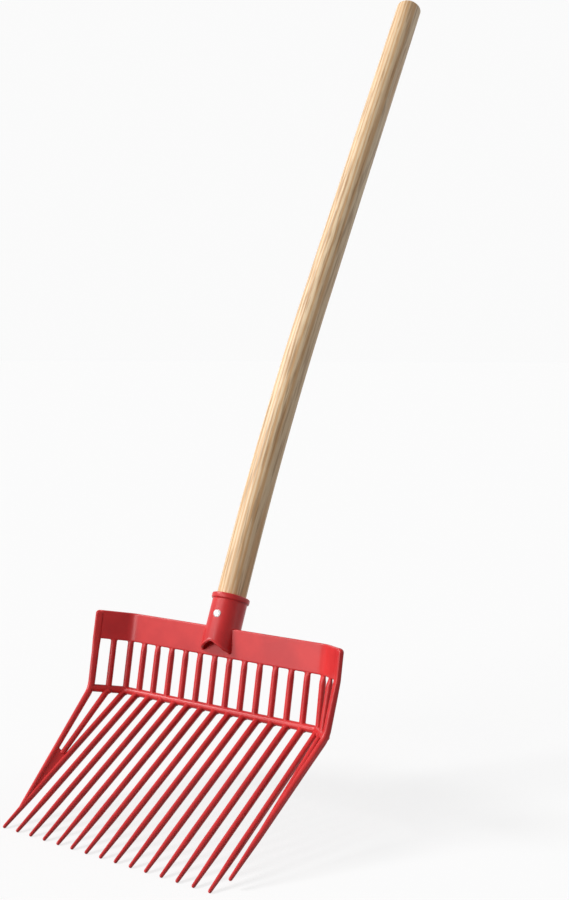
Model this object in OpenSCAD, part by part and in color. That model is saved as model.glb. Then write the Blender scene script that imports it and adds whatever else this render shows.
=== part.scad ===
// Manure fork: a red moulded head of round rods and a header plate, on a bent wooden handle.
// The fork stands as it is photographed, tine tips on the floor and handle leaning back.
// X runs across the head, -Y is the way the tines point, +Z is up.

/* [Floor tines] */
// Distance between the two corner tines, axis to axis
floor_w = 250; // [210:1:320]
// Number of floor tines, the two corner tines included
tine_count = 15; // [11:1:17]
// Length of a floor tine, from the heel bar's axis to its tip
tine_len = 206; // [195:1:320]
// Straight length at the root of a tine, before it tapers
root_len = 8; // [5:0.5:20]
// Length of the pointed end of a tine
point_len = 44; // [20:1:60]
// Diameter of a tine at the heel bar
tine_root_d = 7.2; // [6:0.1:8]
// Diameter of a tine where its point begins
tine_neck_d = 6; // [5:0.1:7]
// Diameter of the rounded tip of a tine
tine_tip_d = 3.6; // [2:0.1:5]
// Angle of the floor tines below level
tine_dip = 26; // [15:0.5:40]

/* [Grille] */
// Number of grille bars, the two corner bars included
bar_count = 14; // [10:1:16]
// Diameter of a grille bar
bar_d = 6.6; // [5:0.1:8]
// Diameter of the heel bar that the bars and the tines grow from
heel_d = 7.4; // [7:0.1:10]
// Height of the slots, from the heel bar's axis to the header plate
slot_h = 54.6; // [40:0.2:90]
// Angle that the grille leans back from upright
grille_lean = 12; // [0:0.5:20]

/* [Header plate] */
// Height of the header plate
plate_h = 31.2; // [24:0.2:50]
// Thickness of the header plate
plate_t = 4; // [3:0.1:6]
// Radius of the bend from the header plate into a wing, at mid thickness
bend_r = 20; // [10:0.5:30]

/* [Wings] */
// Angle that a wing turns forward at the header plate
wing_turn_top = 41; // [25:0.5:50]
// Angle that a wing turns forward at the heel bar
wing_turn_heel = 49; // [35:0.5:60]
// Diameter of the rail at the outer edge of a wing
rail_d = 9; // [8:0.1:11]
// Swell of a rail at its knee, on the diameter
knee_swell = 0.4; // [0.3:0.1:1]
// Diameter of an edge tine at its rail
edge_root_d = 8.4; // [7:0.1:10]
// Diameter of the left edge tine where it runs into the corner tine
edge_join_d = 4.8; // [4:0.1:6]
// Distance from the heel bar to where the left edge tine meets the corner tine's axis
left_edge_join = 180; // [160:1:190]
// Distance from the heel bar to where the left wing tine's line meets the corner tine's axis
left_wing_join = 163; // [140:1:175]
// Depth to which the left wing tine's end runs into the gusset
wing_inset = 4; // [2:0.5:8]
// Length of the left gusset, back from where the edge tine joins
left_gusset_len = 78; // [40:1:90]
// Distance from the heel bar to the tip of the right edge tine
right_edge_len = 189; // [160:1:200]
// Distance of the right edge tine's tip outside the corner tine's axis
right_tip_out = 11; // [10:0.5:18]
// Distance along the right edge tine to where the wing tine runs into it
right_wing_join = 116; // [70:1:125]
// Length of the right gusset, back from where the wing tine joins
right_gusset_len = 84; // [50:1:90]
// Thickness of a gusset
gusset_t = 3; // [2:0.1:4]

/* [Socket] */
// Angle that the socket leans back from upright
socket_lean = 25; // [15:0.5:35]
// Outer diameter of the socket tube
socket_d = 38; // [37:0.5:44]
// Gap between the handle and the socket's bore, on the radius
handle_clear = 0.1; // [0.05:0.01:0.3]
// Outer diameter of the rim round the socket's mouth
rim_d = 41.5; // [40:0.5:48]
// Height of the rim
rim_h = 6; // [4:0.1:10]
// Radius of the rim's rounded edges
rim_round = 1.5; // [0.5:0.1:2]
// Length of socket that stands above the header plate
socket_above = 34; // [32:0.1:60]
// Distance of the socket's axis in front of the plate's mid plane, at the plate's top edge (behind it below zero)
socket_ahead = -6.4; // [-8:0.1:8]
// Distance of the socket's axis to the left of the head's middle
socket_left = 7.2; // [0:0.1:12]
// Depth of the arch's peak below the rim, on the front of the socket
arch_drop = 53.2; // [50:0.1:60]
// Angle at which the arch's two sides fall away from its peak
arch_fall = 28; // [20:0.5:40]
// Height of the socket's foot above the slots
foot_gap = 5; // [2:0.1:10]

/* [Handle] */
// Diameter of the handle
handle_d = 32; // [28:0.5:34]
// Amount by which the handle's end in the socket is turned down, on the diameter
tenon_step = 0.1; // [0.1:0.05:1]
// Depth of the handle in the socket
handle_insert = 48; // [40:0.5:52]
// Depth below the socket's rim at which the handle's bend begins
bend_depth = 4; // [2:0.5:10]
// Length of the bent stretch, along the handle's axis
bend_len = 374; // [200:1:500]
// Angle of the bend
handle_bend = 6.6; // [2:0.1:12]
// Straight length of handle above the bend, to its top
handle_high = 467; // [300:1:900]
// Radius of the domed top end
dome_r = 20; // [18:0.5:40]

/* [Rivet] */
// Depth of the rivet below the rim
rivet_drop = 23.4; // [16:0.1:30]
// Diameter of the rivet's shank
rivet_d = 5; // [3:0.1:6]
// Gap round the rivet's shank and heads, on the radius
rivet_clear = 0.1; // [0.05:0.01:0.3]
// Diameter of the rivet's head and of its formed tail
rivet_head_d = 9; // [8:0.1:11]
// Height of the rivet's head above its seat
rivet_head_h = 2.4; // [1.5:0.1:4]
// Depth of the flat seat that the rivet's head sits on
rivet_seat = 0.8; // [0.7:0.1:1.2]

/* [Hidden] */
$fn = 64;
moulding = "#c4353c";
timber = "#d8b88a";
metal = "#d9dadb";

corner_x = floor_w / 2;
tine_pitch = floor_w / (tine_count - 1);
bar_pitch = floor_w / (bar_count - 1);
plate_top = slot_h + plate_h;
bend_setback = bend_r * tan(wing_turn_top / 2);
flat_x = corner_x - bend_setback;
rail_s = 2 * bar_pitch;
knee_d = rail_d + knee_swell;
// Distance from the knee's centre to the end of each of the rail's lengths, well inside the knee's ball
knee_gap = rail_d / 15;
socket_r = socket_d / 2;
handle_r = handle_d / 2;
bore_r = handle_r + handle_clear;
tenon_d = handle_d - tenon_step;
tip_r = tine_tip_d / 2;
// Length of the socket's tube behind the plate, which closes on the handle's end
rear_len = handle_insert + 2;
bend_axis_r = bend_len / (handle_bend * PI / 180);
handle_lean = socket_lean + handle_bend;
// Where the domed end begins, above the bend
dome_base = handle_high - dome_r + sqrt(pow(dome_r, 2) - pow(handle_r, 2));
// A size well past the head, for cuts
far = 4 * floor_w;

// Turns a point about the heel bar's axis
function tilt(v, a) = [v.x, v.y * cos(a) - v.z * sin(a), v.y * sin(a) + v.z * cos(a)];
// A point of the grille: across, behind its plane, and up along it
function grille(v) = tilt(v, -grille_lean);
// A point of the tine floor: across, along the tines (tips at -Y), and above it
function floor_pt(v) = tilt(v, tine_dip);
function unit(v) = v / norm(v);
// A point on a wing: its side, distance from the corner, turn and height along the grille
function wing(side, s, turn, h) = grille([side * (corner_x + s * cos(turn)), -s * sin(turn), h]);

function tine_x(i) = -corner_x + (i - 1) * tine_pitch;
function bar_x(i) = -corner_x + (i - 1) * bar_pitch;
function corner_at(side, d) = floor_pt([side * corner_x, -d, 0]);
function rail_heel(side) = wing(side, rail_s, wing_turn_heel, 0);
// Where a rail turns from its slope into the wing plate's edge
function knee(side) = wing(side, rail_s, wing_turn_top, slot_h);
function wing_heel(side) = wing(side, bar_pitch, wing_turn_heel, 0);
function edge_end(side) = side < 0 ? corner_at(side, left_edge_join)
    : floor_pt([corner_x + right_tip_out, -right_edge_len, 0]);
function edge_at(side, d) = rail_heel(side) + d * unit(edge_end(side) - rail_heel(side));
function wing_tine_end(side) = side < 0 ? left_wing_end : edge_at(side, right_wing_join);

// The left wing tine heads for the corner tine and stops just inside the gusset's back edge
left_meet = edge_end(-1);
left_inner = unit(corner_at(-1, 0) - left_meet);
left_middle = unit(left_inner + unit(rail_heel(-1) - left_meet));
left_way = corner_at(-1, left_wing_join) - wing_heel(-1);
left_back = left_gusset_len * (left_inner * left_middle) - wing_inset;
left_wing_end = wing_heel(-1)
    + left_way * (left_back - (wing_heel(-1) - left_meet) * left_middle) / (left_way * left_middle);

// Centre of the socket's mouth
socket_axis = [0, sin(socket_lean), cos(socket_lean)];
mouth = grille([-socket_left, -socket_ahead, plate_top]) + socket_above * socket_axis;
// Top of the handle, worked out along its bend, for the frame's origin
bend_end = mouth - bend_depth * socket_axis + bend_axis_r
    * [0, cos(socket_lean) - cos(handle_lean), sin(handle_lean) - sin(socket_lean)];
handle_top = bend_end + handle_high * [0, sin(handle_lean), cos(handle_lean)];
lift_z = (tine_len - tip_r) * sin(tine_dip) + tip_r;
front_y = -(tine_len - tip_r) * cos(tine_dip) - tip_r;
back_y = handle_top.y + handle_r * cos(handle_lean) - (handle_r / dome_r) * handle_r * sin(handle_lean) / 2;
shift_y = -(front_y + back_y) / 2;

tine_names = [for (i = [1:tine_count]) str("tine_", i)];
bar_names = [for (i = [1:bar_count]) str("bar_", i)];
side_names = ["wing_plate", "heel_bar", "wing_bar", "rail", "wing_tine", "edge_tine", "gusset"];

// The heel bar's centre is modelled at the origin, and the part stands on the floor
module place() {
    translate([0, shift_y, lift_z]) children();
}

// Stands its children on a, with their Z towards b
module along(a, b) {
    d = b - a;
    translate(a) rotate([0, acos(d.z / norm(d)), atan2(d.y, d.x)]) children();
}

module rod(a, b, d1, d2) {
    along(a, b) cylinder(h = norm(b - a), d1 = d1, d2 = d2);
}

module ball(a, d) {
    translate(a) sphere(d = d);
}

// A tapered rod with a rounded point at b
module pointed_rod(a, b, root_d, neck_d) {
    len = norm(b - a);
    along(a, b) {
        cylinder(h = root_len, d = root_d);
        translate([0, 0, root_len]) cylinder(h = len - point_len - root_len, d1 = root_d, d2 = neck_d);
        translate([0, 0, len - point_len]) cylinder(h = point_len - tip_r, d1 = neck_d, d2 = tine_tip_d);
        translate([0, 0, len - tip_r]) sphere(d = tine_tip_d);
    }
}

module heel_rod() {
    rotate([0, 90, 0]) rotate(90) cylinder(h = floor_w, d = heel_d, center = true);
    ball([-corner_x, 0, 0], heel_d);
    ball([corner_x, 0, 0], heel_d);
}

module tine_rod(x) {
    pointed_rod([x, 0, 0], floor_pt([x, -tine_len, 0]), tine_root_d, tine_neck_d);
}

module bar_rod(x) {
    rod([x, 0, 0], grille([x, 0, slot_h]), bar_d, bar_d);
}

// The lower rail as plain rods, to cut the pieces that meet it
module rail_foot(side) {
    ball(rail_heel(side), rail_d);
    rod(rail_heel(side), knee(side), rail_d, rail_d);
}

module wing_heel_rod(side) {
    rod([side * corner_x, 0, 0], rail_heel(side), heel_d, heel_d);
}

module wing_bar_rod(side) {
    rod(wing_heel(side), wing(side, bar_pitch, wing_turn_top, slot_h), bar_d, bar_d);
}

module edge_rod(side) {
    if (side < 0) rod(rail_heel(side), edge_end(side), edge_root_d, edge_join_d);
    else pointed_rod(rail_heel(side), edge_end(side), edge_root_d, tine_neck_d);
}

module wing_tine_rod(side) {
    rod(wing_heel(side), wing_tine_end(side), tine_root_d, edge_join_d);
}

// Stands its children on the socket's axis, Z up along it and the mouth at zero
module at_mouth() {
    translate(mouth) rotate([-socket_lean, 0, 0]) children();
}

// Stands its children on the grille, Z up along it
module at_grille() {
    rotate([-grille_lean, 0, 0]) children();
}

module header_plate() {
    color(moulding) place() difference() {
        at_grille() translate([-flat_x, -plate_t / 2, slot_h]) cube([2 * flat_x, plate_t, plate_h]);
        at_mouth() translate([0, 0, -rear_len]) cylinder(h = far, r = socket_r);
    }
}

// The plate of the right wing, mirrored for the left: the bend and the flat beyond it, up to the rail
module wing_plate(side) {
    color(moulding) place() difference() {
        at_grille() mirror([side < 0 ? 1 : 0, 0, 0]) translate([flat_x, -bend_r, slot_h]) {
            rotate(90 - wing_turn_top) rotate_extrude(angle = wing_turn_top)
                translate([bend_r - plate_t / 2, 0]) square([plate_t, plate_h]);
            rotate(-wing_turn_top) translate([0, bend_r - plate_t / 2, 0])
                cube([rail_s - bend_setback, plate_t, plate_h]);
        }
        translate(knee(side)) at_grille() cylinder(h = far, d = rail_d);
        ball(knee(side), knee_d);
    }
}

module heel_bar() {
    color(moulding) place() heel_rod();
}

module wing_heel_bar(side) {
    color(moulding) place() difference() {
        wing_heel_rod(side);
        heel_rod();
        bar_rod(side * corner_x);
        tine_rod(side * corner_x);
        rail_foot(side);
    }
}

module bar(i) {
    color(moulding) place() difference() {
        bar_rod(bar_x(i));
        heel_rod();
    }
}

module tine(i) {
    color(moulding) place() difference() {
        tine_rod(tine_x(i));
        heel_rod();
    }
}

// The rail's two straight lengths, which meet in the ball at the knee
module rail(side) {
    top = wing(side, rail_s, wing_turn_top, plate_top - rail_d / 2);
    color(moulding) place() {
        ball(knee(side), knee_d);
        for (end = [rail_heel(side), top]) along(knee(side), end) {
            len = norm(end - knee(side));
            translate([0, 0, knee_gap]) cylinder(h = len - knee_gap, d = rail_d);
            translate([0, 0, len]) sphere(d = rail_d);
        }
    }
}

module wing_bar(side) {
    color(moulding) place() difference() {
        wing_bar_rod(side);
        wing_heel_rod(side);
    }
}

module edge_tine(side) {
    color(moulding) place() difference() {
        edge_rod(side);
        rail_foot(side);
        wing_heel_rod(side);
        tine_rod(side * corner_x);
    }
}

module wing_tine(side) {
    color(moulding) place() difference() {
        wing_tine_rod(side);
        wing_heel_rod(side);
        wing_bar_rod(side);
        tine_rod(side * corner_x);
        edge_rod(side);
    }
}

// The web between two rods that run together: a is where they meet, b and c lie on their axes
module web(a, b, c) {
    u = unit(b - a);
    w = unit(cross(u, c - a));
    v = cross(w, u);
    multmatrix([
        [u.x, v.x, w.x, a.x],
        [u.y, v.y, w.y, a.y],
        [u.z, v.z, w.z, a.z],
        [0, 0, 0, 1]
    ]) translate([0, 0, -gusset_t / 2]) linear_extrude(gusset_t)
        polygon([[0, 0], [norm(b - a), 0], [(c - a) * u, (c - a) * v]]);
}

module gusset(side) {
    len = side < 0 ? left_gusset_len : right_gusset_len;
    meet = side < 0 ? edge_end(side) : wing_tine_end(side);
    inner = side < 0 ? corner_at(side, 0) : wing_heel(side);
    color(moulding) place() difference() {
        web(meet, meet + len * unit(rail_heel(side) - meet), meet + len * unit(inner - meet));
        tine_rod(side * corner_x);
        edge_rod(side);
        wing_tine_rod(side);
    }
}

module rim_profile() {
    rim_r = rim_d / 2;
    translate([bore_r, -rim_h]) square([rim_r - bore_r - rim_round, rim_h]);
    translate([bore_r, -rim_h + rim_round]) square([rim_r - bore_r, rim_h - 2 * rim_round]);
    for (y = [-rim_h + rim_round, -rim_round]) translate([rim_r - rim_round, y]) circle(r = rim_round);
}

// The flat seats and the hole for the rivet, front to back through the socket
module rivet_holes() {
    translate([0, 0, -rivet_drop]) rotate([90, 0, 0]) {
        cylinder(h = far, r = rivet_d / 2 + rivet_clear, center = true);
        for (end = [0, 180]) rotate([end, 0, 0]) translate([0, 0, socket_r - rivet_seat])
            cylinder(h = far, r = rivet_head_d / 2 + rivet_clear);
    }
}

// The socket's tube, with the arch in its front and its foot cut level above the slots
module socket() {
    tube_len = norm(mouth);
    slot_top = grille([0, 0, slot_h]).z;
    color(moulding) place() difference() {
        at_mouth() {
            translate([0, 0, -tube_len]) difference() {
                cylinder(h = tube_len - rim_h / 2, r = socket_r);
                cylinder(h = far, r = bore_r);
            }
            rotate_extrude() rim_profile();
        }
        at_mouth() translate([0, 0, -arch_drop]) rotate([90, 0, 0]) linear_extrude(far)
            polygon([[0, 0], [socket_d, -socket_d * tan(arch_fall)], [-socket_d, -socket_d * tan(arch_fall)]]);
        at_mouth() rivet_holes();
        translate([-far / 2, -far / 2, slot_top + foot_gap - far]) cube(far);
        intersection() {
            at_mouth() translate([-far / 2, -far / 2, -rear_len - far]) cube(far);
            at_grille() translate([-far / 2, -plate_t / 2, -far / 2]) cube(far);
        }
    }
}

// The handle's domed end, on top of the straight length
module dome() {
    intersection() {
        translate([0, 0, -sqrt(pow(dome_r, 2) - pow(handle_r, 2))]) sphere(r = dome_r);
        translate([-dome_r, -dome_r, 0]) cube(2 * dome_r);
    }
}

// One turned and bent stick: a straight end in the socket, a long bend, then straight to a domed top
module handle() {
    color(timber) place() difference() {
        union() {
            at_mouth() translate([0, 0, -handle_insert]) cylinder(h = handle_insert, d = tenon_d);
            translate(bend_end) rotate([-handle_lean, 0, 0]) {
                translate([0, bend_axis_r, 0]) rotate([90, 0, -90]) rotate_extrude(angle = -handle_bend)
                    translate([bend_axis_r, 0]) circle(d = handle_d);
                rotate(-90) {
                    cylinder(h = dome_base, d = handle_d);
                    translate([0, 0, dome_base]) dome();
                }
            }
        }
        at_mouth() translate([0, 0, -rivet_drop]) rotate([90, 0, 0])
            cylinder(h = far, r = rivet_d / 2 + rivet_clear, center = true);
    }
}

// A low domed head that stands on its seat
module rivet_head() {
    cap_r = (pow(rivet_head_d / 2, 2) + pow(rivet_head_h, 2)) / (2 * rivet_head_h);
    intersection() {
        translate([0, 0, rivet_head_h - cap_r]) sphere(r = cap_r);
        cylinder(h = rivet_head_h, d = rivet_head_d);
    }
}

module rivet() {
    seat = socket_r - rivet_seat;
    color(metal) place() at_mouth() translate([0, 0, -rivet_drop]) rotate([90, 0, 0]) {
        cylinder(h = 2 * seat, d = rivet_d, center = true);
        for (end = [0, 180]) rotate([end, 0, 0]) translate([0, 0, seat]) rivet_head();
    }
}

header_plate();
socket();
heel_bar();
handle();
rivet();
for (s = [["left_", -1], ["right_", 1]]) {
    wing_plate(s[1]);
    wing_heel_bar(s[1]);
    wing_bar(s[1]);
    rail(s[1]);
    wing_tine(s[1]);
    edge_tine(s[1]);
    gusset(s[1]);
}
for (i = [1:bar_count]) bar(i);
for (i = [1:tine_count]) tine(i);
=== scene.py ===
import math

import bpy
import numpy as np
from mathutils import Matrix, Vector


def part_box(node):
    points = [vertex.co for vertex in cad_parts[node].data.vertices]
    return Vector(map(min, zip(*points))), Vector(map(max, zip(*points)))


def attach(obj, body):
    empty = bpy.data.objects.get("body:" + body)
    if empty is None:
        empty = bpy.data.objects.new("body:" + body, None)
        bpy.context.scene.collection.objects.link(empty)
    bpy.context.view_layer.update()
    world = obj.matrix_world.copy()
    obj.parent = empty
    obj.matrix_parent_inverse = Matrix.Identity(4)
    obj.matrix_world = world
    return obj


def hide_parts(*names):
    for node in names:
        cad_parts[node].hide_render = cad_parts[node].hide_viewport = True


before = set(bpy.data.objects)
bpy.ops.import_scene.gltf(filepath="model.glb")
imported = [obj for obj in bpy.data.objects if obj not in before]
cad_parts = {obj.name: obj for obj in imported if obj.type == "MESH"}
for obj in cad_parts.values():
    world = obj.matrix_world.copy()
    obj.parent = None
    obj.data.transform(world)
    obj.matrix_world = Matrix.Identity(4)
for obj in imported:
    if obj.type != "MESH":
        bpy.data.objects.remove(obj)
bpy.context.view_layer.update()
print("frame:", len(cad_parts), "nodes")

mm = 0.001

# sizes that several pieces share, in millimetres and degrees
fork = dict(
    floorWidth=250, tineCount=15, tineDip=26,
    barCount=14, slotHeight=54.6, lean=12,
    plateHeight=31.2, plateThick=4,
    turnTop=41, turnHeel=49,
)
cornerX = fork["floorWidth"] / 2
tinePitch = fork["floorWidth"] / (fork["tineCount"] - 1)
barPitch = fork["floorWidth"] / (fork["barCount"] - 1)
railOut = 2 * barPitch  # from the corner to the rail, along the wing
heelCentre = np.mean(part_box("heel_bar"), axis=0) / mm  # shapes are worked out from this point
acrossX = np.array([1.0, 0.0, 0.0])
upZ = np.array([0.0, 0.0, 1.0])

heelRadius = 3.7  # where the fillets of tines and bars begin
flareRings = 7  # rings over such a fillet
quarterRings = 6  # points on a small quarter circle
tipRings = 8  # rings on a rounded end


def unit(v):
    v = np.asarray(v, float)
    return v / np.linalg.norm(v, axis=-1, keepdims=True)


# 0 up to 0, 1 from 1 on, and an even S between
def smooth(t):
    t = np.clip(t, 0, 1)
    return t * t * (3 - 2 * t)


# points turned about the X axis by an angle in degrees
def turnX(points, degrees):
    p = np.asarray(points, float)
    c, s = math.cos(math.radians(degrees)), math.sin(math.radians(degrees))
    y, z = p[..., 1], p[..., 2]
    return np.stack([p[..., 0], y * c - z * s, y * s + z * c], axis=-1)


# a point of the leaning grille: across, behind its plane, up along it
def grille(points):
    return turnX(points, -fork["lean"])


# a point of the tine floor: across, along the tines with the tips at -Y, above it
def tineFloor(points):
    return turnX(points, fork["tineDip"])


# a point on a wing: distance out from the corner along the turned wing, height along the grille
def wingPoint(side, out, turn, height):
    a = math.radians(turn)
    return grille([side * (cornerX + out * math.cos(a)), -out * math.sin(a), height])


# a straight-sided path whose inner corners are arcs of the given radii, sampled about every step
def roundedPath(corners, bends, step):
    def straight(start, end):
        return np.linspace(start, end, max(2, int(np.linalg.norm(end - start) / step) + 1))

    corners = np.asarray(corners, float)
    runs, start = [], corners[0]
    for i, bend in enumerate(bends, 1):
        d1, d2 = unit(corners[i] - corners[i - 1]), unit(corners[i + 1] - corners[i])
        turn = math.acos(np.clip(d1 @ d2, -1, 1))
        cut = bend * math.tan(turn / 2)
        first = corners[i] - cut * d1
        runs.append(straight(start, first)[:-1])
        a = np.linspace(0, turn, max(4, int(bend * turn / step * 2) + 2))[:-1, None]
        inward = unit(d2 - (d2 @ d1) * d1)
        runs.append(first + bend * (np.sin(a) * d1 + (1 - np.cos(a)) * inward))
        start = corners[i] + cut * d2
    runs.append(straight(start, corners[-1]))
    return np.concatenate(runs)


# distance along a path to each of its points
def pathLength(path):
    return np.concatenate([[0], np.cumsum(np.linalg.norm(np.diff(path, axis=0), axis=1))])


# points of a path at the given distances along it
def alongPath(path, distances):
    s = pathLength(path)
    return np.stack([np.interp(distances, s, path[:, k]) for k in range(3)], axis=-1)


# distances 0 to length, close together in the last stretch, where a tip of that radius is rounded
def tipSteps(length, radius, count):
    bow = np.linspace(0, math.pi / 2, tipRings)
    body = np.linspace(0, length - radius, count)[:-1]
    return np.concatenate([body, length - radius + radius * np.sin(bow)])


# share of the full radius: 1 up to the rounded end, then a quarter circle down to 0 at the tip
def tipRound(s, length, radius):
    t = np.clip((s - (length - radius)) / radius, 0, 1)
    return np.sqrt(np.maximum(1 - t * t, 0))


# a fillet of radius f where a rod leaves a face: full inside the face, a quarter circle outside it
def fillet(distance, f):
    d = np.clip(distance, 0, f)
    return f - np.sqrt(np.maximum(f * f - (f - d) ** 2, 0))


# rings of an elliptical section carried along a path: half axes along across and square to it;
# a corner power under 1, for all rings or each, squares the ellipse off
def tubeRings(path, half, across, sides, corner=1.0):
    half = np.asarray(half, float)
    half = np.stack([half, half], axis=-1) if half.ndim == 1 else half
    t = unit(np.gradient(path, axis=0))
    side = unit(across - (t @ across)[:, None] * t)
    other = np.cross(t, side)
    a = np.linspace(0, 2 * math.pi, sides, endpoint=False)
    power = np.broadcast_to(corner, len(path))[:, None]
    c, d = (np.sign(v) * np.abs(v) ** power for v in (np.cos(a), np.sin(a)))
    return (path[:, None] + half[:, :1, None] * c[..., None] * side[:, None]
            + half[:, 1:, None] * d[..., None] * other[:, None])


# quads between neighbouring rings, which close on themselves, and a fan over each open end
def skin(rings, looped):
    n, m = rings.shape[:2]
    i = np.arange(n if looped else n - 1)[:, None]
    j = np.arange(m)[None, :]
    i2, j2 = (i + 1) % n, (j + 1) % m
    quads = np.stack([i * m + j, i * m + j2, i2 * m + j2, i2 * m + j], axis=-1).reshape(-1, 4)
    points = rings.reshape(-1, 3)
    if looped:
        return points, quads.tolist()
    k = np.arange(m)
    k2 = (k + 1) % m
    base = (n - 1) * m
    first = np.stack([np.full(m, n * m), k2, k], axis=-1)
    last = np.stack([np.full(m, n * m + 1), base + k, base + k2], axis=-1)
    points = np.concatenate([points, rings[:1].mean(axis=1), rings[-1:].mean(axis=1)])
    return points, quads.tolist() + first.tolist() + last.tolist()


# a finished piece: its mesh in the part's frame, the nodes that it stands for, its material
def makePiece(name, rings, nodes, material, looped=False):
    points, faces = skin(rings, looped)
    mesh = bpy.data.meshes.new(name)
    mesh.from_pydata((np.asarray(points) + heelCentre) * mm, [], faces)
    mesh.polygons.foreach_set("use_smooth", np.ones(len(mesh.polygons), bool))
    mesh.update()
    mesh.materials.append(material)
    piece = bpy.data.objects.new(name, mesh)
    bpy.context.scene.collection.objects.link(piece)
    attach(piece, "root")
    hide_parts(*nodes)
    return piece


# a number in a shader: each sum or product of such values adds a Math node
class Value:
    def __init__(self, tree, socket):
        self.tree, self.socket = tree, socket

    def math(self, operation, first, second):
        return addNode(self.tree, "ShaderNodeMath", {"operation": operation}, {0: first, 1: second})

    def __add__(self, other):
        return self.math("ADD", self, other)

    def __sub__(self, other):
        return self.math("SUBTRACT", self, other)

    def __rsub__(self, other):
        return self.math("SUBTRACT", other, self)

    def __mul__(self, other):
        return self.math("MULTIPLY", self, other)

    __radd__ = __add__
    __rmul__ = __mul__


# adds a node: its settings first, then the values or links of its sockets; gives its output
def addNode(tree, kind, settings=None, sockets=None, output=0):
    node = tree.nodes.new(kind)
    for key, value in (settings or {}).items():
        if key == "stops":
            elements = node.color_ramp.elements
            for place, colour in value[2:]:
                elements.new(place)
            for element, (place, colour) in zip(elements, value):
                element.position, element.color = place, (*colour, 1)
        else:
            setattr(node, key, value)
    for key, value in (sockets or {}).items():
        if isinstance(value, Value):
            tree.links.new(value.socket, node.inputs[key])
        else:
            node.inputs[key].default_value = value
    return Value(tree, node.outputs[output]) if node.outputs else None


# sRGB colour of 0 to 255 as the linear colour that a shader takes
def rgb(*levels):
    c = np.array(levels) / 255
    return tuple(np.where(c <= 0.04045, c / 12.92, ((c + 0.055) / 1.055) ** 2.4))


def newMaterial(name):
    material = bpy.data.materials.new(name)
    material.use_nodes = True
    material.node_tree.nodes.clear()
    return material, material.node_tree


def objectPlace(tree):
    return addNode(tree, "ShaderNodeTexCoord", output="Object")


# a place whose third coordinate counts only by a share, which draws a pattern out along it
def drawnOut(tree, place, share):
    return addNode(tree, "ShaderNodeMapping", None, {"Vector": place, "Scale": (1, 1, share)})


def noise(tree, vector, scale, detail=4, rough=0.55):
    return addNode(tree, "ShaderNodeTexNoise", None,
                   {"Vector": vector, "Scale": scale, "Detail": detail, "Roughness": rough})


def mixColour(tree, factor, *colours):
    first, second = (c if isinstance(c, Value) else (*c, 1) for c in colours)
    return addNode(tree, "ShaderNodeMix", {"data_type": "RGBA"},
                   {0: factor, 6: first, 7: second}, 2)


def ramp(tree, value, stops):
    return addNode(tree, "ShaderNodeValToRGB", {"stops": stops}, {0: value})


# black up to the first level of a value, white from the second on
def fade(tree, value, levels):
    return ramp(tree, value, [(levels[0], (0, 0, 0)), (levels[1], (1, 1, 1))])


def surface(tree, sockets):
    addOutput(tree, addNode(tree, "ShaderNodeBsdfPrincipled", None, sockets))


def addOutput(tree, shader, kind="ShaderNodeOutputMaterial"):
    addNode(tree, kind, None, {"Surface": shader})


# red moulding: satin polypropylene with a faint flow marbling, fine skin and scuffs
redLook = dict(
    base=rgb(202, 48, 48), deep=rgb(186, 38, 40), pale=rgb(212, 76, 74),
    marbleScale=28, marbleFade=(0.36, 0.66),
    scuffScale=130, scuffFade=(0.6, 0.82), scuffShare=0.35, scuffRough=0.12,
    skinScale=420, skinHeight=0.015, skinDepth=0.0004,
    rough=0.34, roughSwing=0.12, ior=1.49, shine=0.3,
)


def makeRed():
    look = redLook
    material, tree = newMaterial("redMoulding")
    at = objectPlace(tree)
    marble = noise(tree, at, look["marbleScale"], 3)
    fine = noise(tree, at, look["skinScale"], 3)
    scuff = noise(tree, at, look["scuffScale"], 6, 0.7)
    colour = mixColour(tree, fade(tree, marble, look["marbleFade"]), look["deep"], look["base"])
    worn = fade(tree, scuff, look["scuffFade"])
    colour = mixColour(tree, worn * look["scuffShare"], colour, look["pale"])
    rough = look["rough"] + look["roughSwing"] * (marble - 0.5) + worn * look["scuffRough"]
    bump = addNode(tree, "ShaderNodeBump", None,
                   {"Strength": look["skinHeight"], "Distance": look["skinDepth"], "Height": fine})
    surface(tree, {"Base Color": colour, "Roughness": rough, "Normal": bump, "IOR": look["ior"],
                   "Specular IOR Level": look["shine"]})
    return material


# bright rivet metal with faint handling marks
metalLook = dict(dull=rgb(228, 228, 226), bright=rgb(250, 250, 249), markScale=900,
                 markStops=(0.35, 0.7), metallic=0.8, rough=0.2, roughSwing=0.12)


def makeRivetMetal():
    look = metalLook
    material, tree = newMaterial("rivetMetal")
    marks = noise(tree, objectPlace(tree), look["markScale"])
    colour = ramp(tree, marks, list(zip(look["markStops"], (look["dull"], look["bright"]))))
    surface(tree, {"Base Color": colour, "Metallic": look["metallic"],
                   "Roughness": look["rough"] + marks * look["roughSwing"]})
    return material


# pale ash: growth bands, fine fibres, open pores and dark streaks, all drawn out along the stick
woodLook = dict(
    pale=rgb(226, 202, 166), warm=rgb(208, 166, 120),
    dark=rgb(172, 126, 80), streak=rgb(140, 96, 56), grainShare=0.035,
    bandScale=62, bandWander=5.5, bandFade=(0.15, 0.95),
    fibreScale=900, fibreFade=(0.5, 0.75), fibreMix=0.55,
    poreScale=1700, poreFade=(0.62, 0.74), poreMix=0.4, poreDepth=0.6,
    streakShare=0.05, streakScale=330, streakFade=(0.5, 0.63), streakMix=0.55,
    cloudShare=0.12, cloudScale=22, cloudFade=(0.45, 0.75), cloudMix=0.45,
    rough=0.46, roughSwing=0.16, bump=0.25, bumpDepth=0.0005, ior=1.46,
)


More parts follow.
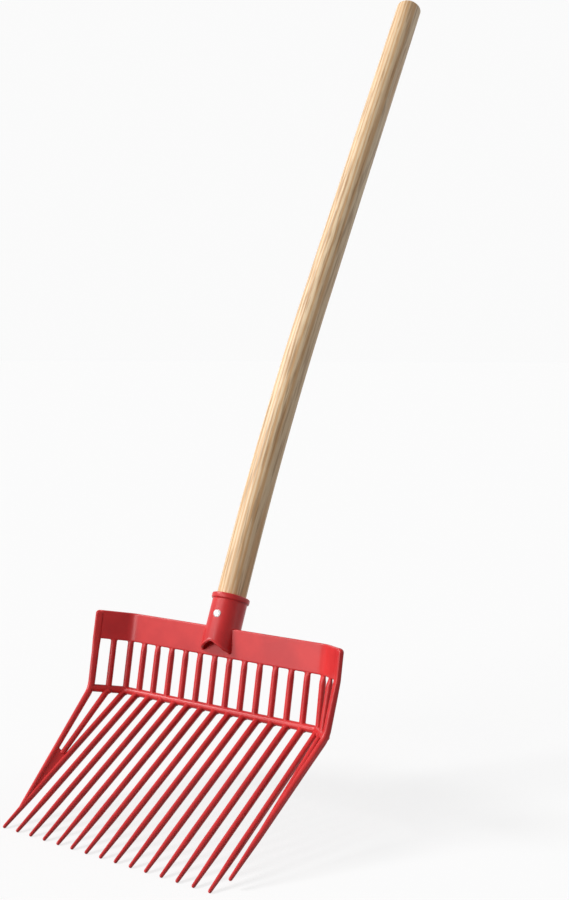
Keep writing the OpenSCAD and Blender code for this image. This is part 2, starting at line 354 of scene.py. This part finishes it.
def makeWood():
    look = woodLook
    material, tree = newMaterial("ashWood")
    along = addNode(tree, "ShaderNodeAttribute", {"attribute_name": "grain"}, output="Vector")
    stretch = drawnOut(tree, along, look["grainShare"])
    bands = addNode(tree, "ShaderNodeTexWave", {"wave_type": "BANDS", "bands_direction": "X"},
                    {"Vector": stretch, "Scale": look["bandScale"],
                     "Distortion": look["bandWander"], "Detail": 3, "Detail Scale": 1.6}, 1)
    fibre = noise(tree, stretch, look["fibreScale"], 4, 0.6)
    pores = noise(tree, stretch, look["poreScale"], 2, 0.5)
    streaks = noise(tree, drawnOut(tree, along, look["streakShare"]), look["streakScale"], 2)
    clouds = noise(tree, drawnOut(tree, along, look["cloudShare"]), look["cloudScale"], 2)
    pore = fade(tree, pores, look["poreFade"])
    colour = mixColour(tree, fade(tree, bands, look["bandFade"]), look["pale"], look["warm"])
    for share, over in (
            (fade(tree, fibre, look["fibreFade"]) * look["fibreMix"], look["dark"]),
            (pore * look["poreMix"], look["dark"]),
            (fade(tree, streaks, look["streakFade"]) * look["streakMix"], look["streak"]),
            (fade(tree, clouds, look["cloudFade"]) * look["cloudMix"], look["warm"])):
        colour = mixColour(tree, share, colour, over)
    bump = addNode(tree, "ShaderNodeBump", None,
                   {"Strength": look["bump"], "Distance": look["bumpDepth"],
                    "Height": fibre - pore * look["poreDepth"]})
    surface(tree, {"Base Color": colour, "Roughness": look["rough"] + fibre * look["roughSwing"],
                   "Normal": bump, "IOR": look["ior"]})
    return material


redMoulding = makeRed()
rivetMetal = makeRivetMetal()
ashWood = makeWood()
print("materials:", len(bpy.data.materials))


# a piece of the red head
def makeMoulding(name, rings, nodes, looped=False):
    return makePiece(name, rings, nodes, redMoulding, looped)


# floor tines: round rods that taper to a blunt point, with a fillet at the heel bar
tineLook = dict(length=206, rootRadius=3.6, rootRun=8, neckRadius=3.0, neckAt=162,
                tipRadius=1.75, flare=2.0, sides=20, rings=60, heelRings=9)
tineNeck = tineLook["length"] - tineLook["neckAt"]  # from the neck to the tip


# half axes of a tine: across the row it flares into the heel bar, up and down it stays in the bar
def tineHalf(s, length):
    look = tineLook
    body = np.interp(s, [0, look["rootRun"], length - tineNeck, length],
                     [look["rootRadius"]] * 2 + [look["neckRadius"], look["tipRadius"]])
    body = body * tipRound(s, length, look["tipRadius"])
    return np.stack([body + fillet(s - heelRadius, look["flare"]), body], axis=-1)


def makeTine(name, root, tip, nodes):
    look = tineLook
    length = np.linalg.norm(tip - root)
    near = np.linspace(0, heelRadius + look["flare"], look["heelRings"])[1:-1]
    s = np.unique(np.concatenate([tipSteps(length, look["tipRadius"], look["rings"]), near]))
    path = root + s[:, None] * unit(tip - root)
    rings = tubeRings(path, tineHalf(s, length), acrossX, look["sides"])
    return makeMoulding(name, rings, nodes)


for i in range(fork["tineCount"]):
    x = -cornerX + i * tinePitch
    makeTine(f"floor_tine_{i + 1}", np.array([x, 0, 0]),
             tineFloor([x, -tineLook["length"], 0]), [f"tine_{i + 1}"])
print("tines:", fork["tineCount"])

# grille bars: round rods that flatten into the plate's lower edge, a little thinner than it
barLook = dict(radius=3.45, flare=1.6, flatten=8, sunk=2.5, thinner=0.15, sides=20, rings=36)


def makeBar(name, root, top, across, nodes):
    look = barLook
    length = np.linalg.norm(top - root)
    over = np.linspace(0, look["flare"], flareRings)
    s = np.unique(np.concatenate([np.linspace(0, length + look["sunk"], look["rings"]),
                                  heelRadius + over, length - over]))
    path = root + s[:, None] * unit(top - root)
    wide = (look["radius"] + fillet(s - heelRadius, look["flare"])
            + fillet(length - s, look["flare"]))
    blend = smooth((s - (length - look["flatten"])) / look["flatten"])
    flat = fork["plateThick"] / 2 - look["thinner"]
    thick = look["radius"] + (flat - look["radius"]) * blend
    rings = tubeRings(path, np.stack([wide, thick], axis=-1), unit(across), look["sides"])
    return makeMoulding(name, rings, nodes)


# the socket: one wall carried round the axis, with a rim at its mouth and an arch in its foot
socketLook = dict(
    lean=25, above=34, ahead=-6.4, left=7.2, radius=19, bore=16.1,
    rimRadius=20.75, rimHeight=6, rimRound=1.5, rimFillet=1, lip=0.6,
    archDrop=53.2, archFall=28, archRound=2.5, footGap=5, footRound=1.4,
    backDepth=50, backFrom=84, backRun=4, outFrom=1.2, inTo=0.5,
    around=240, wallRings=22, footRings=9,
)


# middle of the socket's mouth, the way up its axis and the way to its front
def socketFrame():
    look = socketLook
    a = math.radians(look["lean"])
    axis = np.array([0, math.sin(a), math.cos(a)])
    front = np.array([0, -math.cos(a), math.sin(a)])
    top = grille([-look["left"], -look["ahead"], fork["slotHeight"] + fork["plateHeight"]])
    return top + look["above"] * axis, axis, front


# the header plate: a rounded strip carried along its plan, straight, round each bend, to each
# rail; it is lower in the notch behind the socket, whose sides are steep
plateLook = dict(bend=18, edge=1.4, step=4.0, notchHeight=15.4, notchHalf=(16.3, 16.8),
                 hair=0.01, rowNear=0.5, rowClear=2, rows=5)


def platePlan():
    a = math.radians(fork["turnTop"])
    endX, endY = cornerX + railOut * math.cos(a), -railOut * math.sin(a)
    corners = [[-endX, endY, 0], [-cornerX, 0, 0], [cornerX, 0, 0], [endX, endY, 0]]
    plan = roundedPath(corners, [plateLook["bend"]] * 2, plateLook["step"])
    cut = np.array([s * w - socketLook["left"] for s in (-1, 1) for w in plateLook["notchHalf"]])
    plan = np.concatenate([plan, cut[:, None] * acrossX])
    return plan[np.argsort(plan[:, 0])]


# section of the plate: a rectangle of half thickness by height with rounded corners, as
# (behind, up) pairs, with rows close to the corners that keep the faces flat in the shading
def plateSection(h):
    look = plateLook
    r, t = look["edge"], fork["plateThick"] / 2
    q = np.linspace(0, math.pi / 2, quarterRings)
    corner = np.stack([np.cos(q), np.sin(q)], axis=-1) * r
    middle = np.linspace(r + look["rowClear"], h - r - look["rowClear"], look["rows"])
    rise = np.concatenate([[r + look["rowNear"]], middle, [h - r - look["rowNear"]]])
    back = np.stack([np.full(rise.size, t), rise], axis=-1)
    top = np.concatenate([corner + [t - r, h - r], corner[::-1] * [-1, 1] + [r - t, h - r]])
    front = np.stack([np.full(rise.size, -t), rise[::-1]], axis=-1)
    low = np.concatenate([corner * [-1, -1] + [r - t, r], corner[::-1] * [1, -1] + [t - r, r]])
    return np.concatenate([back, top, front, low])


def makePlate():
    plan = platePlan()
    t = unit(np.gradient(plan, axis=0))
    behind = np.stack([-t[:, 1], t[:, 0], np.zeros(len(t))], axis=-1)
    fromSocket = np.abs(plan[:, 0] + socketLook["left"])
    inNotch = fromSocket < plateLook["notchHalf"][0] + plateLook["hair"]
    tall, low = plateSection(fork["plateHeight"]), plateSection(plateLook["notchHeight"])
    section = np.where(inNotch[:, None, None], low, tall)
    rings = plan[:, None] + behind[:, None] * section[..., :1]
    rings[..., 2] += fork["slotHeight"] + section[..., 1]
    return makeMoulding("header_band", grille(rings),
                        ["header_plate", "left_wing_plate", "right_wing_plate"])


makePlate()

halfTurn = math.radians(fork["turnTop"] / 2)
bendIn = plateLook["bend"] * (1 / math.cos(halfTurn) - 1)  # from the plan's corner to its bend
for i in range(fork["barCount"]):
    x = -cornerX + i * barPitch
    top = np.array([x, 0, fork["slotHeight"]])
    turn = 0
    if i in (0, fork["barCount"] - 1):  # the corner bars meet the plate in the middle of its bend
        top += bendIn * np.array([-np.sign(x) * math.sin(halfTurn), -math.cos(halfTurn), 0])
        turn = -np.sign(x) * halfTurn
    makeBar(f"grille_bar_{i + 1}", np.array([x, 0, 0]), grille(top),
            np.array([math.cos(turn), math.sin(turn), 0]), [f"bar_{i + 1}"])
print("bars:", fork["barCount"])

# each wing: a rail that runs down the plate's end, bends at the heel and goes on as the edge tine;
# radii lie along the wing, flats are the half thickness through it
wingLook = dict(
    endRadius=4.5, railRadius=4.0, edgeRadius=3.5, joinRadius=2.4, tipRadius=1.75,
    endFlat=2.9, kneeFlat=3.4, railFlat=3.5, edgeFlat=4.2,
    endRun=14, flatFrom=-3, flatTo=16, heelRun=30, crownShare=0.8,
    kneeBend=60, heelBend=22, corner=(0.62, 0.75, 1.0),
    sideTineRadius=3.5, sideTineEnd=2.9, sideTineRings=40,
    step=2.5, rings=110, sides=48,
)
leftWing = dict(edgeLength=180, wingAim=163, gusset=78, inset=4)
rightWing = dict(edgeLength=189, tipOut=11, wingJoin=116, gusset=84)


def railHeel(side):
    return wingPoint(side, railOut, fork["turnHeel"], 0)


def wingHeel(side):
    return wingPoint(side, barPitch, fork["turnHeel"], 0)


def edgeEnd(side):
    if side < 0:
        return tineFloor([-cornerX, -leftWing["edgeLength"], 0])
    return tineFloor([cornerX + rightWing["tipOut"], -rightWing["edgeLength"], 0])


def sideTineEnd(side):
    if side < 0:  # it heads for the corner tine and stops just inside the web's back edge
        meet, root = edgeEnd(side), wingHeel(side)
        inner = unit(tineFloor([-cornerX, 0, 0]) - meet)
        middle = unit(inner + unit(railHeel(side) - meet))
        way = tineFloor([-cornerX, -leftWing["wingAim"], 0]) - root
        back = leftWing["gusset"] * (inner @ middle) - leftWing["inset"]
        return root + way * (back - (root - meet) @ middle) / (way @ middle)
    return railHeel(side) + rightWing["wingJoin"] * unit(edgeEnd(side) - railHeel(side))


# a squared tube along the rail's path, whose two half axes and corner power change on the way
def makeRail(side, word):
    look, plate = wingLook, fork["plateHeight"]
    top = wingPoint(side, railOut, fork["turnTop"], fork["slotHeight"] + plate)
    knee = wingPoint(side, railOut, fork["turnTop"], fork["slotHeight"])
    corners = [top, knee, railHeel(side), edgeEnd(side)]
    path = roundedPath(corners, [look["kneeBend"], look["heelBend"]], look["step"])
    length = pathLength(path)[-1]
    heelAt = pathLength(roundedPath(corners[:3], [look["kneeBend"]], look["step"]))[-1]
    atHeel = [heelAt - look["heelRun"], heelAt + look["heelRun"]]
    crown = look["endRadius"] * look["crownShare"]
    tip = look["joinRadius"] if side < 0 else look["tipRadius"]
    bow = np.linspace(0, math.pi / 2, tipRings)
    s = np.unique(np.concatenate([crown * (1 - np.sin(bow[::-1])),
                                  tipSteps(length, tip, look["rings"])[1:]]))
    places = [0, plate, plate + look["endRun"]] + atHeel
    radii = [look["endRadius"]] * 2 + [look["railRadius"]] * 2 + [look["edgeRadius"]]
    if side > 0:
        places, radii = places + [length - tineNeck], radii + [tineLook["neckRadius"]]
    half = np.interp(s, places + [length], radii + [tip])
    flat = np.interp(s, [0, plate + look["flatFrom"], plate + look["flatTo"]] + atHeel,
                     [look["endFlat"]] * 2 + [look["kneeFlat"], look["railFlat"], look["edgeFlat"]])
    ends = tipRound(s, length, tip) * tipRound(crown - s + length, length + crown, crown)
    half = np.stack([half, np.minimum(half, flat)], axis=-1) * ends[:, None]
    a = math.radians(fork["turnTop"])
    outward = unit(grille([side * math.cos(a), -math.sin(a), 0]))
    corner = np.interp(s, [plate] + atHeel, look["corner"])
    rings = tubeRings(alongPath(path, s), half, outward, look["sides"], corner)
    return makeMoulding(f"{word}_rail_and_edge", rings, [f"{word}_rail", f"{word}_edge_tine"])


# a tapering rod from the side bar's foot, with a fillet at the heel
def makeSideTine(side, word):
    root, end = wingHeel(side), sideTineEnd(side)
    length = np.linalg.norm(end - root)
    s = np.unique(np.concatenate([np.linspace(0, length, wingLook["sideTineRings"]),
                                  heelRadius + np.linspace(0, tineLook["flare"], flareRings)]))
    half = np.interp(s, [0, length], [wingLook["sideTineRadius"], wingLook["sideTineEnd"]])
    half = np.stack([half + fillet(s - heelRadius, tineLook["flare"]), half], axis=-1)
    path = root + s[:, None] * unit(end - root)
    rings = tubeRings(path, half, acrossX, tineLook["sides"])
    return makeMoulding(f"{word}_side_tine", rings, [f"{word}_wing_tine"])


# the web in the fork of two rods: rays that fan out from where they meet, each a thin strip
# with a rounded back edge, the middle ones a little shorter
webLook = dict(thick=3, dip=0.03, apexShare=0.03, rays=14, outRings=24, edgeRings=9)


def makeWeb(side, word):
    look = webLook
    apex = edgeEnd(side) if side < 0 else sideTineEnd(side)
    outer = unit(railHeel(side) - apex)
    inner = unit((tineFloor([side * cornerX, 0, 0]) if side < 0 else wingHeel(side)) - apex)
    normal = unit(np.cross(outer, inner))
    b = np.linspace(0, 1, look["rays"])[:, None, None]
    reach = (leftWing if side < 0 else rightWing)["gusset"] * (1 - look["dip"] * np.sin(np.pi * b))
    bow = np.linspace(0, math.pi, look["edgeRings"])
    out = np.linspace(look["apexShare"], 1, look["outRings"])[:-1]
    half = look["thick"] / 2
    flat, level = np.full(out.size, half), np.zeros(out.size)
    share = np.concatenate([out, np.ones(bow.size), out[::-1]])[:, None]
    lift = np.concatenate([flat, half * np.cos(bow), -flat])[:, None]
    push = np.concatenate([level, half * np.sin(bow), level])[:, None]
    ray = unit(outer * (1 - b) + inner * b)
    rings = apex + ray * (share * reach + push) + normal * lift
    rings = rings if side > 0 else rings[::-1]
    return makeMoulding(f"{word}_web", rings, [f"{word}_gusset"])


for side, word in ((-1, "left"), (1, "right")):
    makeRail(side, word)
    makeSideTine(side, word)
    makeWeb(side, word)
    a = math.radians(-side * (fork["turnTop"] + fork["turnHeel"]) / 2)
    barTop = wingPoint(side, barPitch, fork["turnTop"], fork["slotHeight"])
    makeBar(f"{word}_side_bar", wingHeel(side), barTop,
            np.array([math.cos(a), math.sin(a), 0]), [f"{word}_wing_bar"])
print("wings: rails, side tines, side bars and webs")

# the heel bar: one rod along the crotch, bent forward at each corner and into each rail, set a
# little inward
heelLook = dict(radius=4.15, inward=(0, -0.6, 0.65), bend=9, step=2.5, rings=150, sides=28)


def makeHeel():
    look = heelLook
    corners = [railHeel(-1), [-cornerX, 0, 0], [cornerX, 0, 0], railHeel(1)]
    path = roundedPath(corners, [look["bend"]] * 2, look["step"]) + look["inward"]
    s = np.linspace(0, pathLength(path)[-1], look["rings"])
    rings = tubeRings(alongPath(path, s), np.full(s.size, look["radius"]), upZ, look["sides"])
    return makeMoulding("heel_rod", rings, ["heel_bar", "left_heel_bar", "right_heel_bar"])


makeHeel()


# depth of the wall's lower edge at each angle from the front: the arch, the level foot or, behind,
# the rear wall's own end
def socketDepth(angle):
    look = socketLook
    mouth, axis, front = socketFrame()
    x = look["radius"] * np.sin(angle)
    r = look["archRound"]
    fall = math.tan(math.radians(look["archFall"]))
    arch = look["archDrop"] + fall * (np.sqrt(x * x + r * r) - r)
    footZ = grille([0, 0, fork["slotHeight"]])[2] + look["footGap"]
    foot = (mouth[2] + look["radius"] * np.cos(angle) * front[2] - footZ) / axis[2]
    depth = np.where(np.cos(angle) > 0, np.minimum(arch, foot), foot)
    behind = smooth((np.degrees(np.abs(angle)) - look["backFrom"]) / look["backRun"])
    return depth + (look["backDepth"] - depth) * behind


# a closed section at each angle: over the rim, down the outside, round the foot and up the bore
def makeSocket():
    look = socketLook
    mouth, axis, front = socketFrame()
    angle = np.linspace(-math.pi, math.pi, look["around"], endpoint=False)
    foot = socketDepth(angle)[:, None] - look["footRound"]
    q = np.linspace(0, math.pi / 2, quarterRings)
    w = np.linspace(0, math.pi, look["footRings"])
    wall = np.linspace(0, 1, look["wallRings"])[None, :]
    outer, bore, lip = look["radius"], look["bore"], look["lip"]
    rim, high = look["rimRadius"] - look["rimRound"], look["rimHeight"] - look["rimRound"]
    f, below = look["rimRound"], look["rimFillet"]
    rimR = np.concatenate([bore + lip - lip * np.cos(q), rim + f * np.sin(q), rim + f * np.cos(q),
                           outer + below - below * np.sin(q)])
    rimDepth = np.concatenate([lip - lip * np.sin(q), f - f * np.cos(q), high + f * np.sin(q),
                               look["rimHeight"] + below - below * np.cos(q)])
    top = look["rimHeight"] + look["outFrom"]
    outDepth = top + (foot - top) * wall
    half = (outer - bore) / 2
    footR = bore + half + half * np.cos(w)
    footDepth = foot + look["footRound"] * np.sin(w)[None, :]
    inDepth = foot + (lip + look["inTo"] - foot) * wall

    def allRound(v):
        return np.repeat(v[None, :], angle.size, axis=0)

    radius = np.concatenate([allRound(rimR), np.full(outDepth.shape, outer), allRound(footR),
                             np.full(inDepth.shape, bore)], axis=1)
    deep = np.concatenate([allRound(rimDepth), outDepth, footDepth, inDepth], axis=1)
    a = angle[:, None, None]
    ray = np.sin(a) * acrossX + np.cos(a) * front
    rings = mouth + radius[..., None] * ray - deep[..., None] * axis
    return makeMoulding("socket_tube", rings, ["socket"], looped=True)


makeSocket()
print("socket and heel bar")

# the rivet: a profile turned about its line, with a low dome on the socket's front, the same as a
# formed tail behind, and a shank between
rivetLook = dict(drop=23.4, seat=18.2, headRadius=4.5, headHeight=2.2, edge=0.7, shank=2.5,
                 tip=0.02, edgeRings=8, domeRings=9, sides=40)


def makeRivet():
    look = rivetLook
    mouth, axis, front = socketFrame()
    centre = mouth - look["drop"] * axis
    edge, seat, shank = look["edge"], look["seat"], look["shank"]
    flat = look["headRadius"] - edge
    q = np.linspace(0, math.pi / 2, look["edgeRings"])
    dome = np.linspace(0, 1, look["domeRings"])[1:]
    # one half outward along the rivet: shank, underside, rounded edge, dome to the middle
    r = np.concatenate([[shank], flat + edge * np.sin(q), flat * (1 - dome ** 2) ** 0.5])
    z = np.concatenate([[seat], seat + edge - edge * np.cos(q),
                        seat + edge + (look["headHeight"] - edge) * dome])
    r[-1] = look["tip"]
    r, z = np.concatenate([r[::-1], r]), np.concatenate([-z[::-1], z])
    path = centre + z[:, None] * front
    a = np.linspace(0, 2 * math.pi, look["sides"], endpoint=False)[:, None]
    ray = np.cos(a) * acrossX + np.sin(a) * np.cross(front, acrossX)
    rings = path[:, None] + r[:, None, None] * ray
    return makePiece("socket_rivet", rings, ["rivet"], rivetMetal)


makeRivet()

# the handle: a round stick along a straight end, one long bend and a straight length, with a domed
# top; in the socket it is thinner by the slack
handleLook = dict(radius=15.96, insert=48, bendDepth=4, bendLength=374, bend=6.6, high=467,
                  domeRadius=20, slack=0.05, tip=0.05, edgeRun=1.6,
                  rings=200, edgeRings=6, domeRings=14, sides=64)


def makeHandle():
    look = handleLook
    mouth, axis, front = socketFrame()
    ball, sides = look["domeRadius"], look["sides"]
    arcRadius = look["bendLength"] / math.radians(look["bend"])
    domeHeight = ball - math.sqrt(ball ** 2 - look["radius"] ** 2)
    straightEnd = look["insert"] - look["bendDepth"]
    total = straightEnd + look["bendLength"] + look["high"]
    domeAt = total - domeHeight
    q = np.linspace(0, 1, look["domeRings"])[1:]
    s = np.concatenate([np.linspace(0, domeAt - look["edgeRun"], look["rings"]),
                        domeAt + np.linspace(-look["edgeRun"], 0, look["edgeRings"])[1:],
                        domeAt + domeHeight * np.sin(q * math.pi / 2)])
    a = math.radians(look["bend"]) * np.clip((s - straightEnd) / look["bendLength"], 0, 1)
    low = np.minimum(s, straightEnd) - look["insert"]
    high = np.maximum(s - straightEnd - look["bendLength"], 0)
    lift = low + arcRadius * np.sin(a) + high * np.cos(a)
    backward = arcRadius * (1 - np.cos(a)) + high * np.sin(a)
    path = mouth + lift[:, None] * axis - backward[:, None] * front
    fromBall = ball - domeHeight + np.clip(s - domeAt, 0, domeHeight)
    r = np.minimum(np.sqrt(np.maximum(ball ** 2 - fromBall ** 2, 0)), look["radius"])
    r = np.where(s < look["insert"], np.minimum(r, look["radius"] - look["slack"]), r)
    r[-1] = look["tip"]
    piece = makePiece("ash_handle", tubeRings(path, r, acrossX, sides), ["handle"],
                      ashWood)
    # where each point would be in the straight stick, in metres, for the grain
    turn = np.linspace(0, 2 * math.pi, sides, endpoint=False)
    height = np.repeat(s[:, None], sides, axis=1)
    stick = np.stack([r[:, None] * np.cos(turn), r[:, None] * np.sin(turn), height], axis=-1)
    stick = np.concatenate([stick.reshape(-1, 3), [[0, 0, s[0]], [0, 0, s[-1]]]]) * mm
    grain = piece.data.attributes.new("grain", "FLOAT_VECTOR", "POINT")
    grain.data.foreach_set("vector", stick.ravel())
    return piece


makeHandle()
print("rivet and handle")

# pale studio: a wide floor, an even surround and three soft lamps, the key from the left front
studio = dict(floorColour=(0.7, 0.7, 0.7), bounceColour=(0.12, 0.12, 0.12), white=(1, 1, 1, 1),
              glow=0.72, glowStrength=1.09, seen=0.96, surround=0.14, reach=40.0)
keyLight = dict(turn=-60, rise=38, spread=18, strength=0.9)
frontLight = dict(turn=-20, rise=16, spread=30, strength=0.55)
fillLight = dict(turn=128, rise=8, spread=70, strength=0.4)
lampDistance = 3


# 1 for the rays by which the camera or a mirror sees a surface, 0 for those that light the object
def seenRay(tree):
    path = tree.nodes.new("ShaderNodeLightPath")
    camera, glossy, through = (Value(tree, path.outputs[f"Is {kind} Ray"])
                               for kind in ("Camera", "Glossy", "Transmission"))
    return camera + glossy + through


def makeFloor():
    r = studio["reach"]
    mesh = bpy.data.meshes.new("studio_floor")
    mesh.from_pydata([[-r, -r, 0], [r, -r, 0], [r, r, 0], [-r, r, 0]], [], [[0, 1, 2, 3]])
    floor = bpy.data.objects.new("studio_floor", mesh)
    bpy.context.scene.collection.objects.link(floor)
    material, tree = newMaterial("studioPaper")
    seen = seenRay(tree)
    tone = mixColour(tree, seen, studio["bounceColour"], studio["floorColour"])
    diffuse = addNode(tree, "ShaderNodeBsdfDiffuse", None, {"Color": tone})
    white = addNode(tree, "ShaderNodeEmission", None,
                    {"Color": studio["white"], "Strength": studio["glowStrength"]})
    addOutput(tree, addNode(tree, "ShaderNodeMixShader", None,
                            {0: seen * studio["glow"], 1: diffuse, 2: white}))
    mesh.materials.append(material)


makeFloor()


def makeWorld():
    world = bpy.data.worlds.new("studio")
    bpy.context.scene.world = world
    world.use_nodes = True
    tree = world.node_tree
    tree.nodes.clear()
    around, seen = (addNode(tree, "ShaderNodeBackground", None,
                            {"Color": studio["white"], "Strength": studio[key]})
                    for key in ("surround", "seen"))
    mixed = addNode(tree, "ShaderNodeMixShader", None, {0: seenRay(tree), 1: around, 2: seen})
    addOutput(tree, mixed, "ShaderNodeOutputWorld")


makeWorld()


# a frame at a place, looking at a point, with its top upward
def lookAt(place, aim):
    back = unit(np.asarray(place, float) - np.asarray(aim, float))
    right = unit(np.cross(upZ, back))
    axes = np.stack([right, np.cross(back, right), back], axis=-1)
    return Matrix([[*row, p] for row, p in zip(axes, place)] + [[0, 0, 0, 1]])


# a distant soft lamp: turn from the front towards +X, rise above the floor, spread, in degrees
def makeLamp(name, lamp):
    turn, rise = math.radians(lamp["turn"]), math.radians(lamp["rise"])
    level = math.cos(rise)
    toLamp = np.array([math.sin(turn) * level, -math.cos(turn) * level, math.sin(rise)])
    light = bpy.data.lights.new(name, "SUN")
    light.energy, light.angle = lamp["strength"] * math.pi, math.radians(lamp["spread"])
    lampObject = bpy.data.objects.new(name, light)
    lampObject.matrix_world = lookAt(lampDistance * toLamp, [0, 0, 0])
    bpy.context.scene.collection.objects.link(lampObject)


makeLamp("key", keyLight)
makeLamp("front", frontLight)
makeLamp("fill", fillLight)

# camera: from the heel bar's middle, in millimetres; focal length in picture heights
viewpoint = dict(place=(685.5, -946.1, 377.8), forward=(-0.5338, 0.8411, -0.0878),
                 focal=1131.6 / 900, sensor=36, clipEnd=50)


def makeCamera():
    data = bpy.data.cameras.new("viewpoint")
    data.sensor_fit = "VERTICAL"
    data.sensor_height = viewpoint["sensor"]
    data.lens = viewpoint["focal"] * viewpoint["sensor"]
    data.clip_end = viewpoint["clipEnd"]
    camera = bpy.data.objects.new("viewpoint", data)
    place = (np.array(viewpoint["place"]) + heelCentre) * mm
    camera.matrix_world = lookAt(place, place + np.array(viewpoint["forward"]))
    bpy.context.scene.collection.objects.link(camera)
    bpy.context.scene.camera = camera


makeCamera()
bpy.context.scene.view_settings.view_transform = "Standard"
print("studio, lamps and camera")
